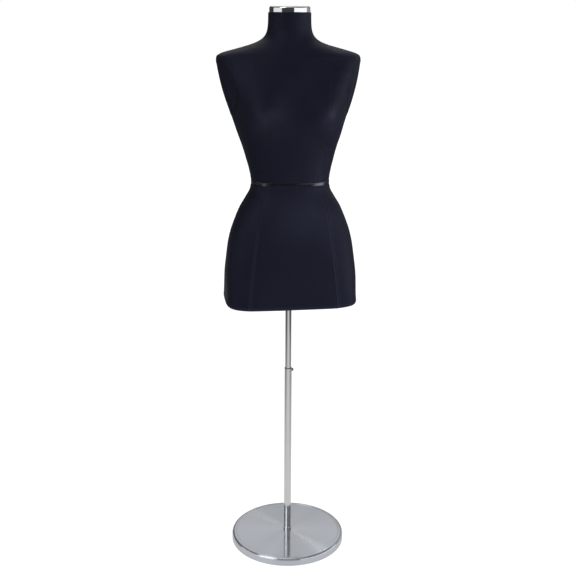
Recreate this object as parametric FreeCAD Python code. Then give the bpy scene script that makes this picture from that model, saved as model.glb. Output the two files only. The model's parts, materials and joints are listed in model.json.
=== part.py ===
import FreeCAD, Part
import math
import os

# Dress form mannequin on a telescopic pole with a round weighted base.
# Millimetres. +Z is up, the chest faces -Y, and left is the wearer's left, +X.
# The origin is the centre of the base's underside.

V = FreeCAD.Vector
UP = V(0, 0, 1)
SIDEWAYS = V(1, 0, 0)

# ---- base
BASE_R = 152.5
PAD_R = 147.0
PAD_T = 3.0
PAD_HOLE_R = 16.0
COVER_EDGE_Z = 1.5
COVER_T = 1.2
RIM_ROLL_R = 9.0
RIM_TOP_Z = 24.0
STEP_R = 140.0
STEP_DEPTH = 0.9
CROWN_Z = 24.6
WEIGHT_R = 146.0
WEIGHT_TOP_Z = 17.0
COUNTERBORE_R = 14.0
COUNTERBORE_Z = 12.0
CROWN_MIDDLE_DROP = 0.4
STEP_SLOPE = 0.9
WASHER_R = 12.0
WASHER_T = 2.0
BOLT_HEAD_R = 8.9
BOLT_HEAD_H = 6.4
BOLT_TOP_Z = 42.0
BOLT_CLEARANCE = 0.3

# ---- pole
LOWER_TUBE_R = 9.5
LOWER_BORE_R = 8.7
LOWER_TUBE_TOP_Z = 499.5
PLUG_TOP_Z = 47.0
BOLT_R = 5.0
COLLAR_R = 11.0
COLLAR_H = 8.0
COLLAR_ROUND = 1.0
BUSH_FLANGE_T = 1.5
BUSH_LENGTH = 49.0
BUSH_ROUND = 0.6
UPPER_TUBE_R = 8.0
UPPER_BORE_R = 6.8
RUNNING_GAP = 0.08
UPPER_TUBE_FOOT_Z = 151.0
UPPER_TUBE_TOP_Z = 794.0
GLIDE_HEAD_T = 5.0
GLIDE_R = 8.63
PLUG_STEM = 18.0
CAP_HEAD_T = 2.0
CAP_HEAD_ROUND = 0.8

# ---- clamp screw
CLAMP_Z = 494.5
CLAMP_THREAD_R = 2.0
CLAMP_BORE_R = 2.05
CLAMP_BOSS_R = 4.2
CLAMP_BOSS_X = (8.15, 10.6)
CLAMP_PAD_X = (8.05, 8.85)
CLAMP_HEAD_X = (10.9, 13.5)
CLAMP_HEAD_R = 4.0
CLAMP_HEX_R = 1.45
CLAMP_HEX_DEPTH = 1.4
CLAMP_HEAD_ROUND = 0.8
CLAMP_PAD_CLEARANCE = 0.05

# ---- torso
HEM_Z = 691.5
HEM_ROUND = 10.0
NECK_TOP_Z = 1401.0
COVER_CLOTH_T = 1.3
SHELL_T = 4.2
BOARD_T = 10.0
NECK_PLATE_T = 8.0
# Where sections lie in the hem's rounding, and the extra sections that hold the neck straight.
HEM_SHARES = (0, 0.05, 0.2, 0.5, 0.9, 1)
EXTRA_SECTIONS = (1371, 1390)
SECTION_POINTS = 40
TURN_STEP = 0.02
HEIGHT_STEP = 0.5
SECTION_KNOTS = [i / SECTION_POINTS for i in range(SECTION_POINTS + 1)]

# Height, half width, y of the side line, y of the front, y of the back,
# then how square the front and the back are (2 is an ellipse).
STATIONS = (
    (691.5, 166.8, -9, -117, 86, 4.6, 4.6),
    (717, 165.6, -14, -116, 94, 4.2, 4.0),
    (765, 164.4, -20, -113, 100, 3.6, 3.4),
    (813, 160.0, -21, -111, 103, 3.1, 2.9),
    (844, 156.0, -21, -108, 101, 2.8, 2.6),
    (875, 149.2, -21, -105, 97, 2.6, 2.5),
    (906, 138.6, -21, -102, 91, 2.45, 2.4),
    (937, 125.4, -21, -98, 83, 2.35, 2.3),
    (960, 111.8, -20, -94, 77, 2.25, 2.25),
    (983, 99.4, -19, -90, 72, 2.2, 2.2),
    (1000, 96.2, -17, -88, 71, 2.2, 2.2),
    (1028, 100.6, -14, -88, 72, 2.2, 2.2),
    (1058, 108.6, -9, -88, 77, 2.2, 2.2),
    (1087, 117.4, -5, -90, 84, 2.2, 2.25),
    (1117, 128.0, -1, -92, 91, 2.25, 2.35),
    (1146, 137.6, 1, -94, 97, 2.3, 2.45),
    (1175, 147.6, 1, -95, 101, 2.35, 2.5),
    (1204, 157.4, 3, -93, 104, 2.4, 2.5),
    (1233, 165.4, 6, -89, 105, 2.4, 2.5),
    (1261, 171.6, 11, -82, 103, 2.35, 2.4),
    (1280, 175.0, 14, -76, 98, 2.2, 2.3),
    (1293, 176.8, 16, -71, 93, 2.1, 2.15),
    (1299, 175.4, 16, -68, 90, 2.0, 2.1),
    (1306, 165.0, 16, -65, 85, 2.0, 2.0),
    (1313, 142.0, 15, -62, 80, 2.0, 2.0),
    (1320, 116.5, 14, -59, 76, 2.0, 2.0),
    (1327, 92.5, 12, -56, 72, 2.0, 2.0),
    (1334, 75.5, 10, -54, 69, 2.0, 2.0),
    (1341, 65.0, 8, -52.5, 66, 2.0, 2.0),
    (1350, 57.6, 6, -51, 62.5, 2.0, 2.0),
    (1362, 53.4, 5, -49.5, 59, 2.0, 2.0),
    (1380, 51.6, 4, -49, 57, 2.0, 2.0),
    (1401, 51.2, 4, -49, 57, 2.0, 2.0),
)

# Bust: place of each apex, how far it stands out, and how wide it spreads.
BUST_X = 80.0
BUST_Z = 1163.0
BUST_OUT = 27.0
BUST_SPREAD_X = 43.0
BUST_SPREAD_UP = 62.0
BUST_SPREAD_DOWN = 40.0

# Armhole facet: a slanting plane that trims the front corner of each side.
FACET_TURN = math.radians(25)
FACET_LEAN = 0.263
FACET_SIDE = 168.0
FACET_Z = 1233.0
FACET_SOFT = 4.0
FACET_FOOT_Z = (1100.0, 1160.0)
ARMHOLE_Y = 5.0
ARMHOLE_Z = 1226.0
ARMHOLE_HALF_Y = 61.0
ARMHOLE_HALF_Z = 64.0
ARMHOLE_FROM_X = 90.0

# Seams, as (height, distance from the middle).
FRONT_SEAM = ((640, 112), (691.5, 111), (800, 101), (900, 87), (1000, 75), (1080, 78), (1163, 81),
              (1240, 86), (1300, 93), (1345, 99), (1440, 104))
BACK_SEAM = ((640, 92), (691.5, 91), (800, 85), (900, 74), (1000, 62), (1100, 70), (1200, 82),
             (1300, 93), (1345, 99), (1440, 104))

# The side and shoulder seam follows the side line; cutting shapes reach this far out from the middle.
SIDE_SEAM_HEIGHTS = (640, 800, 1000, 1100, 1200, 1260, 1310, 1350, 1440)
BEYOND = 300.0

# Waist tape
TAPE_Z = 1000.0
TAPE_H = 8.0
TAPE_T = 0.9

# Socket under the board
FLANGE_R = 40.0
FLANGE_T = 3.0
SLEEVE_R = 10.5
SLEEVE_BORE_R = UPPER_TUBE_R + RUNNING_GAP
SLEEVE_TOP_Z = 800.0
FLANGE_SCREW_PCD_R = 29.0
FLANGE_SCREW_COUNT = 4
FLANGE_SCREW_START = 45
FLANGE_SCREW_R = 2.0
FLANGE_SCREW_LENGTH = 12.0
FLANGE_SCREW_HEAD_R = 4.0
FLANGE_SCREW_HEAD_H = 2.4
FLANGE_SCREW_ROUND = 1.0
SLEEVE_CLEARANCE = 0.1
SLEEVE_END_T = 3.0

# Tacks round the underside
TACK_COUNT = 14
TACK_SHARE = 0.9
TACK_PIN_R = 0.9
TACK_PIN_LENGTH = 8.0
TACK_HEAD_R = 3.5
TACK_HEAD_H = 1.2
TACK_HEAD_ROUND = 0.8

# Neck cap
CAP_R = 49.0
CAP_H = 14.0
CAP_T = 1.2
CAP_ROUND = 4.5
PEG_R = 10.0
PEG_LENGTH = 28.0
SOCKET_R = 14.0
SOCKET_DEPTH = 32.0
PEG_TENON = 4.0
PEG_SCREW_R = 2.0
PEG_SCREW_LENGTH = 37.0
PEG_SCREW_HEAD_R = 3.8
PEG_SCREW_HEAD_H = 3.0


# ---------------------------------------------------------------- helpers
def cylinder(radius, low, high, axis=UP, at=V(0, 0, 0)):
    """A cylinder along an axis, from low to high along it."""
    return Part.makeCylinder(radius, high - low, at + axis * low, axis)


def ring(outer, inner, low, high, axis=UP, at=V(0, 0, 0)):
    return cylinder(outer, low, high, axis, at).cut(cylinder(inner, low, high, axis, at))


def slab(low, high):
    """A wide plate between two heights, for trimming."""
    return Part.makeBox(2 * BEYOND, 2 * BEYOND, high - low, V(-BEYOND, -BEYOND, low))


def rounded_disc(radius, low, high, edge):
    """A disc with its upper edge rounded."""
    disc = cylinder(radius, low, high)
    tops = [e for e in disc.Edges if abs(e.BoundBox.ZMin - high) < 1e-6 and e.BoundBox.ZLength < 1e-6]
    return disc.makeFillet(edge, tops)


def hexagon(radius, low, high, axis, at):
    """A six-sided prism along an axis, with its corners at this radius."""
    frame = FreeCAD.Rotation(UP, axis)
    corners = []
    for i in range(7):
        turn = math.radians(60 * i)
        corner = V(radius * math.cos(turn), radius * math.sin(turn), low)
        corners.append(at + frame.multVec(corner))
    return Part.Face(Part.makePolygon(corners)).extrude(axis * (high - low))


def around(shape, count, start=0.0):
    """Copies of a shape turned about the vertical axis."""
    copies = []
    for i in range(count):
        copy = shape.copy()
        copy.rotate(V(0, 0, 0), UP, start + 360.0 * i / count)
        copies.append(copy)
    return Part.makeCompound(copies)


def save(name, shape):
    """Checks a sub-part and writes its STEP file."""
    if not shape.isValid() or not shape.Solids:
        raise ValueError(name + " is not a valid solid")
    if len(shape.Solids) == 1:
        shape = shape.Solids[0]
    shape.exportStep("parts/" + name + ".step")
    print(name, len(shape.Solids))


# ---------------------------------------------------------------- torso form
def blend(values, heights, z):
    """A smooth curve through the values, flat at the ends, at height z."""
    last = len(heights) - 1
    if z <= heights[0]:
        return values[0]
    if z >= heights[last]:
        return values[last]
    i = max(k for k in range(last) if heights[k] <= z)
    slopes = []
    for k in (i, i + 1):
        if k in (0, last):
            slopes.append(0.0)
            continue
        before = (values[k] - values[k - 1]) / (heights[k] - heights[k - 1])
        after = (values[k + 1] - values[k]) / (heights[k + 1] - heights[k])
        slopes.append(0.0 if before * after <= 0 else 2 * before * after / (before + after))
    step = heights[i + 1] - heights[i]
    t = (z - heights[i]) / step
    return (values[i] * (1 + 2 * t) * (1 - t) ** 2 + slopes[0] * step * t * (1 - t) ** 2
            + values[i + 1] * t * t * (3 - 2 * t) - slopes[1] * step * t * t * (1 - t))


HEIGHTS = [s[0] for s in STATIONS]
COLUMNS = [[s[k] for s in STATIONS] for k in range(1, 7)]


def side_line(z):
    return blend(COLUMNS[1], HEIGHTS, z)


def form_point(turn, z):
    """A point of the cover's outer surface; a turn of 0 is the left side and 90 degrees the back."""
    half, side, front, back, front_square, back_square = [blend(c, HEIGHTS, z) for c in COLUMNS]
    tuck = 0.0
    if z < HEM_Z + HEM_ROUND:
        drop = min(HEM_Z + HEM_ROUND - z, HEM_ROUND)
        tuck = HEM_ROUND - math.sqrt(HEM_ROUND ** 2 - drop ** 2)
    c, s = math.cos(turn), math.sin(turn)
    depth, square = (back - side, back_square) if s > 0 else (side - front, front_square)
    swell = (abs(c) ** square + abs(s) ** square) ** (-1 / square)
    x = (half - tuck) * c * swell
    y = side + (depth - tuck) * s * swell
    if s < 0:
        spread = BUST_SPREAD_UP if z > BUST_Z else BUST_SPREAD_DOWN
        apart = (abs(x) - BUST_X) / BUST_SPREAD_X
        y -= BUST_OUT * math.exp(-apart ** 2 - ((z - BUST_Z) / spread) ** 2) * min(1.0, -3 * s)
    reach = FACET_SIDE + FACET_LEAN * (z - FACET_Z)
    limit = reach * math.cos(FACET_TURN) - side * math.sin(FACET_TURN)
    over = abs(x) * math.cos(FACET_TURN) - y * math.sin(FACET_TURN) - limit
    trim = FACET_SOFT * math.log1p(math.exp(min(over / FACET_SOFT, 30.0)))
    low, high = FACET_FOOT_Z
    trim *= min(max((z - low) / (high - low), 0.0), 1.0) * min(max(-4 * s, 0.0), 1.0)
    x -= math.copysign(trim * math.cos(FACET_TURN), x)
    y += trim * math.sin(FACET_TURN)
    return V(x, y, z)


def inset_point(turn, z, inset):
    """A point that lies this deep under the outer surface, along its normal."""
    across = form_point(turn + TURN_STEP, z) - form_point(turn - TURN_STEP, z)
    low, high = max(z - HEIGHT_STEP, HEM_Z + TURN_STEP), min(z + HEIGHT_STEP, NECK_TOP_Z)
    along = form_point(turn, high) - form_point(turn, low)
    return form_point(turn, z) - across.cross(along).normalize() * inset


def section_heights():
    """Heights of the sections: close together in the hem's rounding, then at the stations and between some."""
    hem = [HEM_Z + HEM_ROUND * share for share in HEM_SHARES]
    return sorted(hem + [z for z in HEIGHTS if z > HEM_Z + HEM_ROUND] + list(EXTRA_SECTIONS))


def section_wire(z, inset, level=None):
    """One closed section of the form, inset evenly, and flat at a level if one is given."""
    points = []
    for i in range(SECTION_POINTS):
        point = inset_point(math.radians(90) + 2 * math.pi * i / SECTION_POINTS, z, inset)
        points.append(V(point.x, point.y, point.z if level is None else level))
    curve = Part.BSplineCurve()
    curve.interpolate(Points=points, PeriodicFlag=True, Parameters=SECTION_KNOTS)
    return Part.Wire(curve.toShape())


def form(inset, extra=0.0):
    """The closed torso form, inset evenly, its neck running on upwards by extra."""
    wires = []
    for z in section_heights():
        level = {HEM_Z: HEM_Z + inset, NECK_TOP_Z: NECK_TOP_Z + extra}.get(z)
        wires.append(section_wire(z, inset, level))
    return Part.makeLoft(wires, True, False)


def curve_edge(points):
    curve = Part.BSplineCurve()
    curve.interpolate(points)
    return curve.toShape()


def front_region():
    """Everything ahead of the side and shoulder seams."""
    seam = [V(-BEYOND, side_line(z), z) for z in SIDE_SEAM_HEIGHTS]
    high = V(-BEYOND, -BEYOND, SIDE_SEAM_HEIGHTS[-1])
    low = V(-BEYOND, -BEYOND, SIDE_SEAM_HEIGHTS[0])
    edges = [curve_edge(seam), Part.makeLine(seam[-1], high), Part.makeLine(high, low), Part.makeLine(low, seam[0])]
    return Part.Face(Part.Wire(edges)).extrude(V(2 * BEYOND, 0, 0))


def middle_region(seam):
    """Everything between a pair of princess seams."""
    left = [V(x, -BEYOND, z) for z, x in seam]
    right = [V(-x, -BEYOND, z) for z, x in seam]
    edges = [curve_edge(left), Part.makeLine(left[-1], right[-1]),
             curve_edge(right), Part.makeLine(right[0], left[0])]
    return Part.Face(Part.Wire(Part.sortEdges(edges)[0])).extrude(V(0, 2 * BEYOND, 0))


def armhole_region(side):
    """An oval prism through one side of the chest; side is 1 for left and -1 for right."""
    long_axis = max(ARMHOLE_HALF_Y, ARMHOLE_HALF_Z)
    short_axis = min(ARMHOLE_HALF_Y, ARMHOLE_HALF_Z)
    oval = Part.Ellipse(V(0, ARMHOLE_Y, ARMHOLE_Z + long_axis), V(0, ARMHOLE_Y + short_axis, ARMHOLE_Z),
                        V(0, ARMHOLE_Y, ARMHOLE_Z))
    face = Part.Face(Part.Wire(oval.toShape()))
    face.translate(V(ARMHOLE_FROM_X * side, 0, 0))
    return face.extrude(V((BEYOND - ARMHOLE_FROM_X) * side, 0, 0))


# ---------------------------------------------------------------- base
def make_base():
    save("base_pad", ring(PAD_R, PAD_HOLE_R, 0, PAD_T))

    weight = cylinder(WEIGHT_R, PAD_T, WEIGHT_TOP_Z)
    weight = weight.cut(cylinder(COUNTERBORE_R, PAD_T, COUNTERBORE_Z))
    weight = weight.cut(cylinder(BOLT_R + BOLT_CLEARANCE, PAD_T, WEIGHT_TOP_Z))
    save("base_weight", weight)

    roll = RIM_ROLL_R
    corner = RIM_TOP_Z - roll
    inner_roll = roll - COVER_T
    slant = math.sqrt(0.5)
    hole = LOWER_TUBE_R
    outside = [
        Part.makeLine(V(BASE_R, 0, COVER_EDGE_Z), V(BASE_R, 0, corner)),
        Part.Arc(V(BASE_R, 0, corner), V(BASE_R - roll + roll * slant, 0, corner + roll * slant),
                 V(BASE_R - roll, 0, RIM_TOP_Z)).toShape(),
        Part.makeLine(V(BASE_R - roll, 0, RIM_TOP_Z), V(STEP_R + STEP_SLOPE, 0, RIM_TOP_Z)),
        Part.makeLine(V(STEP_R + STEP_SLOPE, 0, RIM_TOP_Z), V(STEP_R, 0, RIM_TOP_Z - STEP_DEPTH)),
        Part.Arc(V(STEP_R, 0, RIM_TOP_Z - STEP_DEPTH), V(STEP_R / 2, 0, CROWN_Z - CROWN_MIDDLE_DROP),
                 V(hole, 0, CROWN_Z)).toShape(),
    ]
    inside = [
        Part.makeLine(V(hole, 0, CROWN_Z), V(hole, 0, CROWN_Z - COVER_T)),
        Part.Arc(V(hole, 0, CROWN_Z - COVER_T), V(STEP_R / 2, 0, CROWN_Z - CROWN_MIDDLE_DROP - COVER_T),
                 V(STEP_R, 0, RIM_TOP_Z - STEP_DEPTH - COVER_T)).toShape(),
        Part.makeLine(V(STEP_R, 0, RIM_TOP_Z - STEP_DEPTH - COVER_T),
                      V(BASE_R - roll, 0, RIM_TOP_Z - COVER_T)),
        Part.Arc(V(BASE_R - roll, 0, RIM_TOP_Z - COVER_T),
                 V(BASE_R - roll + inner_roll * slant, 0, corner + inner_roll * slant),
                 V(BASE_R - COVER_T, 0, corner)).toShape(),
        Part.makeLine(V(BASE_R - COVER_T, 0, corner), V(BASE_R - COVER_T, 0, COVER_EDGE_Z)),
        Part.makeLine(V(BASE_R - COVER_T, 0, COVER_EDGE_Z), V(BASE_R, 0, COVER_EDGE_Z)),
    ]
    profile = Part.Face(Part.Wire(outside + inside))
    save("base_cover", profile.revolve(V(0, 0, 0), UP, 360))

    washer_z = COUNTERBORE_Z - WASHER_T
    save("base_washer", ring(WASHER_R, BOLT_R + BOLT_CLEARANCE, washer_z, COUNTERBORE_Z))
    bolt = hexagon(BOLT_HEAD_R, washer_z - BOLT_HEAD_H, washer_z, UP, V(0, 0, 0))
    bolt = bolt.fuse(cylinder(BOLT_R, washer_z - 1, BOLT_TOP_Z))
    save("base_bolt", bolt)

    collar = rounded_disc(COLLAR_R, CROWN_Z, CROWN_Z + COLLAR_H, COLLAR_ROUND)
    save("foot_collar", collar.cut(cylinder(LOWER_TUBE_R, CROWN_Z - 1, CROWN_Z + COLLAR_H + 1)))


# ---------------------------------------------------------------- pole and clamp
def make_pole():
    clamp_hole = cylinder(CLAMP_BOSS_R, 0, 2 * LOWER_TUBE_R, SIDEWAYS, V(0, 0, CLAMP_Z))
    plug = cylinder(LOWER_BORE_R, WEIGHT_TOP_Z, PLUG_TOP_Z)
    save("tube_plug", plug.cut(cylinder(BOLT_R, WEIGHT_TOP_Z, PLUG_TOP_Z)))
    tube = ring(LOWER_TUBE_R, LOWER_BORE_R, WEIGHT_TOP_Z, LOWER_TUBE_TOP_Z)
    save("lower_tube", tube.cut(clamp_hole))

    bush_top = LOWER_TUBE_TOP_Z + BUSH_FLANGE_T
    bush = rounded_disc(LOWER_TUBE_R, LOWER_TUBE_TOP_Z, bush_top, BUSH_ROUND)
    bush = bush.fuse(cylinder(LOWER_BORE_R, bush_top - BUSH_LENGTH, LOWER_TUBE_TOP_Z + 0.2))
    bush = bush.cut(cylinder(UPPER_TUBE_R + RUNNING_GAP, bush_top - BUSH_LENGTH - 1, bush_top + 1))
    save("guide_bush", bush.cut(clamp_hole))

    at = V(0, 0, CLAMP_Z)
    boss = ring(CLAMP_BOSS_R, CLAMP_BORE_R, CLAMP_BOSS_X[0], CLAMP_BOSS_X[1], SIDEWAYS, at)
    save("clamp_boss", boss.cut(cylinder(UPPER_TUBE_R + RUNNING_GAP, CLAMP_Z - CLAMP_BOSS_R, CLAMP_Z + CLAMP_BOSS_R)))
    save("clamp_pad", cylinder(CLAMP_THREAD_R - CLAMP_PAD_CLEARANCE, CLAMP_PAD_X[0], CLAMP_PAD_X[1], SIDEWAYS, at))
    screw = cylinder(CLAMP_THREAD_R, CLAMP_PAD_X[1], CLAMP_HEAD_X[0] + 0.5, SIDEWAYS, at)
    head = cylinder(CLAMP_HEAD_R, CLAMP_HEAD_X[0], CLAMP_HEAD_X[1], SIDEWAYS, at)
    rim = [e for e in head.Edges if e.BoundBox.XMin > CLAMP_HEAD_X[1] - 1e-6]
    head = head.makeFillet(CLAMP_HEAD_ROUND, rim)
    screw = screw.fuse(head)
    hex_floor = CLAMP_HEAD_X[1] - CLAMP_HEX_DEPTH
    screw = screw.cut(hexagon(CLAMP_HEX_R, hex_floor, CLAMP_HEAD_X[1] + 1, SIDEWAYS, at))
    save("clamp_screw", screw)

    save("upper_tube", ring(UPPER_TUBE_R, UPPER_BORE_R, UPPER_TUBE_FOOT_Z, UPPER_TUBE_TOP_Z))
    glide = cylinder(GLIDE_R, UPPER_TUBE_FOOT_Z - GLIDE_HEAD_T, UPPER_TUBE_FOOT_Z)
    stem = cylinder(UPPER_BORE_R, UPPER_TUBE_FOOT_Z - 1, UPPER_TUBE_FOOT_Z + PLUG_STEM)
    save("tube_glide", glide.fuse(stem))
    top = rounded_disc(UPPER_TUBE_R, UPPER_TUBE_TOP_Z, UPPER_TUBE_TOP_Z + CAP_HEAD_T, CAP_HEAD_ROUND)
    stem = cylinder(UPPER_BORE_R, UPPER_TUBE_TOP_Z - PLUG_STEM, UPPER_TUBE_TOP_Z + 1)
    save("tube_cap", top.fuse(stem))


# ---------------------------------------------------------------- torso
def make_torso():
    outer = form(0.0)
    under_cloth = form(COVER_CLOTH_T, 2.0)
    hollow = form(COVER_CLOTH_T + SHELL_T, 2.0)
    front = front_region()
    board_top = HEM_Z + COVER_CLOTH_T + BOARD_T
    plate_low = NECK_TOP_Z - NECK_PLATE_T

    shell = under_cloth.cut(hollow).common(slab(board_top, plate_low))
    save("body_front", shell.common(front))
    save("body_back", shell.cut(front))

    sleeve_hole = cylinder(SLEEVE_R + SLEEVE_CLEARANCE, HEM_Z - 5, board_top + 5)
    board = under_cloth.common(slab(HEM_Z, board_top)).cut(sleeve_hole)
    screw_low = HEM_Z - FLANGE_T
    pilot_top = screw_low + FLANGE_SCREW_LENGTH
    screw_at = V(FLANGE_SCREW_PCD_R, 0, 0)
    pilots = around(cylinder(FLANGE_SCREW_R, screw_low, pilot_top, UP, screw_at), FLANGE_SCREW_COUNT, FLANGE_SCREW_START)
    tack_pins, tack_heads = tacks()
    save("bottom_board", board.cut(pilots).cut(tack_pins))
    skin = outer.cut(under_cloth)
    underside_edge = Part.Face(Part.Wire(lowest_wire(outer))).extrude(V(0, 0, 4))
    underside_edge.translate(V(0, 0, -1))
    underside = skin.common(underside_edge)
    save("cover_underside", underside.cut(sleeve_hole).cut(pilots).cut(tack_pins))
    save("panel_tacks", Part.makeCompound([h.fuse(p) for h, p in
                                           zip(tack_heads.Solids, tack_pins.Solids)]))
    save_cover(skin.cut(underside_edge), front)

    flange = ring(FLANGE_R, SLEEVE_BORE_R, screw_low, HEM_Z)
    sleeve = ring(SLEEVE_R, SLEEVE_BORE_R, screw_low, SLEEVE_TOP_Z - SLEEVE_END_T)
    end = cylinder(SLEEVE_R, SLEEVE_TOP_Z - SLEEVE_END_T, SLEEVE_TOP_Z)
    save("socket_flange", flange.fuse(sleeve).fuse(end).cut(pilots))
    head = rounded_disc(FLANGE_SCREW_HEAD_R, 0, FLANGE_SCREW_HEAD_H, FLANGE_SCREW_ROUND)
    head.rotate(V(0, 0, 0), SIDEWAYS, 180)
    head.translate(screw_at + V(0, 0, screw_low))
    screw = head.fuse(cylinder(FLANGE_SCREW_R, screw_low - 0.5, pilot_top, UP, screw_at))
    save("flange_screws", around(screw, FLANGE_SCREW_COUNT, FLANGE_SCREW_START))

    socket_hole = cylinder(SOCKET_R, NECK_TOP_Z - SOCKET_DEPTH, NECK_TOP_Z, UP, neck_centre())
    save("neck_plate", under_cloth.common(slab(plate_low, NECK_TOP_Z)).cut(socket_hole))
    peg_hole = cylinder(PEG_R + RUNNING_GAP, NECK_TOP_Z - PEG_LENGTH - 1, NECK_TOP_Z, UP, neck_centre())
    save("neck_socket", socket_hole.cut(peg_hole))

    edges = (TAPE_Z - TAPE_H / 2, TAPE_Z, TAPE_Z + TAPE_H / 2)
    tape = Part.makeLoft([section_wire(z, -TAPE_T, z) for z in edges], True, False)
    save("waist_tape", tape.cut(outer))


def neck_centre():
    """The middle of the neck's top, at floor height."""
    top = STATIONS[-1]
    return V(0, (top[3] + top[4]) / 2, 0)


def lowest_wire(shape):
    """The edges of the flat underside."""
    flat = [f for f in shape.Faces if f.BoundBox.ZLength < 0.01 and f.BoundBox.ZMin < HEM_Z + 1]
    return flat[0].OuterWire.Edges


def tacks():
    """Pins and heads of the tacks around the edge of the underside."""
    pins, heads = [], []
    for i in range(TACK_COUNT):
        turn = 2 * math.pi * (i + 0.5) / TACK_COUNT
        rim = form_point(turn, HEM_Z)
        at = V(rim.x * TACK_SHARE, rim.y * TACK_SHARE, 0)
        pins.append(cylinder(TACK_PIN_R, HEM_Z - 0.2, HEM_Z + TACK_PIN_LENGTH, UP, at))
        head = rounded_disc(TACK_HEAD_R, 0, TACK_HEAD_H, TACK_HEAD_ROUND)
        head.rotate(V(0, 0, 0), SIDEWAYS, 180)
        head.translate(at + V(0, 0, HEM_Z))
        heads.append(head)
    return Part.makeCompound(pins), Part.makeCompound(heads)


def save_cover(skin, front):
    """The sewn panels of the jersey cover."""
    front_skin = skin.common(front)
    back_skin = skin.cut(front)
    front_middle = middle_region(FRONT_SEAM)
    back_middle = middle_region(BACK_SEAM)
    left_half = Part.makeBox(BEYOND, 2 * BEYOND, 2 * NECK_TOP_Z, V(0, -BEYOND, 0))
    save("cover_front_centre", front_skin.common(front_middle))
    front_sides = front_skin.cut(front_middle)
    back_centre = back_skin.common(back_middle)
    back_sides = back_skin.cut(back_middle)
    for name, side in (("left", 1), ("right", -1)):
        armhole = armhole_region(side)
        half = left_half if side == 1 else left_half.mirror(V(0, 0, 0), SIDEWAYS)
        save("cover_armhole_" + name, skin.common(half).common(armhole))
        save("cover_front_side_" + name, front_sides.common(half).cut(armhole))
        save("cover_back_side_" + name, back_sides.common(half).cut(armhole))
        save("cover_back_" + name, back_centre.common(half))


# ---------------------------------------------------------------- neck cap
def make_neck_cap():
    at = neck_centre()
    top = NECK_TOP_Z + CAP_H
    outside = rounded_disc(CAP_R, NECK_TOP_Z, top, CAP_ROUND)
    inside = rounded_disc(CAP_R - CAP_T, NECK_TOP_Z, top - CAP_T, CAP_ROUND - CAP_T)
    pieces = {
        "neck_cap": outside.cut(inside),
        "cap_core": inside.cut(cylinder(PEG_R, NECK_TOP_Z, NECK_TOP_Z + PEG_TENON)),
        "cap_peg": cylinder(PEG_R, NECK_TOP_Z - PEG_LENGTH, NECK_TOP_Z + PEG_TENON),
    }
    screw_head_low = NECK_TOP_Z - PEG_LENGTH
    screw_head = cylinder(PEG_SCREW_HEAD_R, screw_head_low, screw_head_low + PEG_SCREW_HEAD_H)
    screw = screw_head.fuse(cylinder(PEG_SCREW_R, screw_head_low, screw_head_low + PEG_SCREW_LENGTH))
    pieces["cap_peg"] = pieces["cap_peg"].cut(screw)
    pieces["cap_core"] = pieces["cap_core"].cut(screw)
    pieces["cap_screw"] = screw
    for name, shape in pieces.items():
        shape.translate(at)
        save(name, shape)


os.makedirs("parts", exist_ok=True)
make_base()
make_pole()
make_torso()
make_neck_cap()
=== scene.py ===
import json
import math

import bmesh
import bpy
import numpy as np
from mathutils import Matrix, Vector


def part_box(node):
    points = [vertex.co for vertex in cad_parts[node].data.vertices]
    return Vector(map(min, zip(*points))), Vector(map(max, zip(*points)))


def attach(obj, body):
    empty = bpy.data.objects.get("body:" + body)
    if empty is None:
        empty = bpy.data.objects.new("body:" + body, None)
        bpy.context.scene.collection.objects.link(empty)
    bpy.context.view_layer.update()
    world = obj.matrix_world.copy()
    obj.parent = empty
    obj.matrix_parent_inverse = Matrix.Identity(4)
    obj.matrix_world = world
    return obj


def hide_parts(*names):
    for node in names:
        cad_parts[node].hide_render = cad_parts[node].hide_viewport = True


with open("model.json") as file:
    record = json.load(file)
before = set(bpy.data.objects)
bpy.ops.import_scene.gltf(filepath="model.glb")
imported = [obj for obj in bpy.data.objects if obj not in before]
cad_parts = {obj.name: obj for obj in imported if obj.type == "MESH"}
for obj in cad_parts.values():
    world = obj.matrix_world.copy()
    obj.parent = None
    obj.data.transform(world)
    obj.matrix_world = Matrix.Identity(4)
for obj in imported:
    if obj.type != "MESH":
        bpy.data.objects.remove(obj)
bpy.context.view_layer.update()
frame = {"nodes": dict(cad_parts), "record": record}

NODES = frame["nodes"]
MM = 0.001

# The object is a dress form: a jersey covered torso on a telescopic pole and a round spun base.
# Lengths are in millimetres, except in the materials and the studio, which are in metres.
# Z is up from the floor, and the chest faces -Y.

# ---- camera, fitted to the photograph with a scratch script
CAMERA_TURN = math.radians(-8.0)
CAMERA_DISTANCE = 2345.0
CAMERA_HEIGHT = 1388.0
CAMERA_PITCH = math.radians(15.93)
CAMERA_ROLL = math.radians(0.3)
CAMERA_LENS = 59.125
CAMERA_SHIFT_X = -0.001

# ---- torso, as the CAD cover
HEM_Z = 691.5
HEM_ROUND = 10.0
NECK_TOP_Z = 1401.0
WAIST_Z = 1000.0
CLOTH_T = 0.6

# The cloth turned in over the neck: how far in, and how far down from the top, at each fold.
NECK_EDGE = ((0.10, 0.35), (0.45, 0.0), (0.95, -0.12), (1.3, -0.12))
NECK_EDGE_STEP = 0.4
NECK_ROLL = 1.0
CAP_GAP = 0.15

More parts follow.
